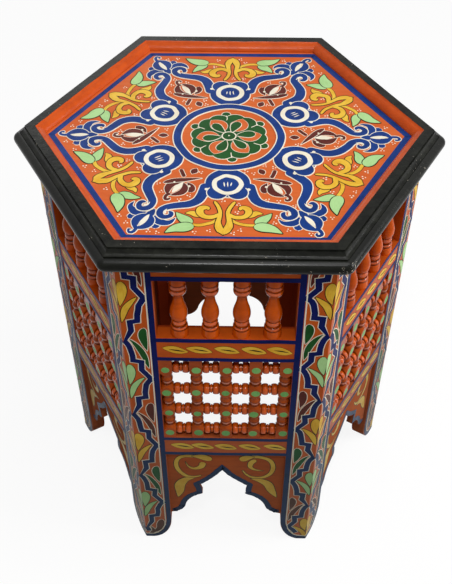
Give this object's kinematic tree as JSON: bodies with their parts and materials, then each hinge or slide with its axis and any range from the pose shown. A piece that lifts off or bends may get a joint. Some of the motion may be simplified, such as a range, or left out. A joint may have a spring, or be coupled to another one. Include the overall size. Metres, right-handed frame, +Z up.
{
  "type": "hexagonal painted side table",
  "caption": "Hexagonal wooden side table with a painted top in a moulded rim, turned baluster gallery, pegged lattice sides, cusped aprons and rounded feet.",
  "frame": {"origin": "on the floor, under the centre of the top", "axes": "+Z up; side 1 faces -Y; two opposite corners lie on the X axis"},
  "size_m": [0.4374, 0.381, 0.5],
  "materials": {
    "orange_paint": "orange-brown paint on wood under satin varnish",
    "turned_orange_paint": "orange-brown paint on turned wood under gloss varnish",
    "top_paint": "bright orange paint on the field, black on the rounded edge",
    "black_and_orange_paint": "black satin paint outside, orange inside the rim",
    "blue_paint": "brushed blue paint",
    "cream_paint": "fine brushed cream lines",
    "yellow_paint": "brushed yellow paint",
    "light_green_paint": "brushed light green paint",
    "dark_green_paint": "brushed dark green paint",
    "maroon_paint": "brushed maroon paint",
    "outline_paint": "fine brushed dark lines",
    "nail_steel": "plain wire nail"
  },
  "bodies": {
    "root": {"side1_left_stile": "orange_paint", "side1_right_stile": "orange_paint", "side1_top_rail": "orange_paint", "side1_middle_rail": "orange_paint", "side1_lower_rail": "orange_paint", "side1_apron": "orange_paint", "side1_balusters": "turned_orange_paint", "side1_lattice_posts": "turned_orange_paint", "side1_top_moulding": "black_and_orange_paint", "side2_left_stile": "orange_paint", "side2_right_stile": "orange_paint", "side2_top_rail": "orange_paint", "side2_middle_rail": "orange_paint", "side2_lower_rail": "orange_paint", "side2_apron": "orange_paint", "side2_balusters": "turned_orange_paint", "side2_lattice_posts": "turned_orange_paint", "side2_top_moulding": "black_and_orange_paint", "side3_left_stile": "orange_paint", "side3_right_stile": "orange_paint", "side3_top_rail": "orange_paint", "side3_middle_rail": "orange_paint", "side3_lower_rail": "orange_paint", "side3_apron": "orange_paint", "side3_balusters": "turned_orange_paint", "side3_lattice_posts": "turned_orange_paint", "side3_top_moulding": "black_and_orange_paint", "side4_left_stile": "orange_paint", "side4_right_stile": "orange_paint", "side4_top_rail": "orange_paint", "side4_middle_rail": "orange_paint", "side4_lower_rail": "orange_paint", "side4_apron": "orange_paint", "side4_balusters": "turned_orange_paint", "side4_lattice_posts": "turned_orange_paint", "side4_top_moulding": "black_and_orange_paint", "side5_left_stile": "orange_paint", "side5_right_stile": "orange_paint", "side5_top_rail": "orange_paint", "side5_middle_rail": "orange_paint", "side5_lower_rail": "orange_paint", "side5_apron": "orange_paint", "side5_balusters": "turned_orange_paint", "side5_lattice_posts": "turned_orange_paint", "side5_top_moulding": "black_and_orange_paint", "side6_left_stile": "orange_paint", "side6_right_stile": "orange_paint", "side6_top_rail": "orange_paint", "side6_middle_rail": "orange_paint", "side6_lower_rail": "orange_paint", "side6_apron": "orange_paint", "side6_balusters": "turned_orange_paint", "side6_lattice_posts": "turned_orange_paint", "side6_top_moulding": "black_and_orange_paint", "lattice_spindles": "turned_orange_paint", "top_nails": "nail_steel", "top_board": "top_paint"}
  },
  "joints": []
}
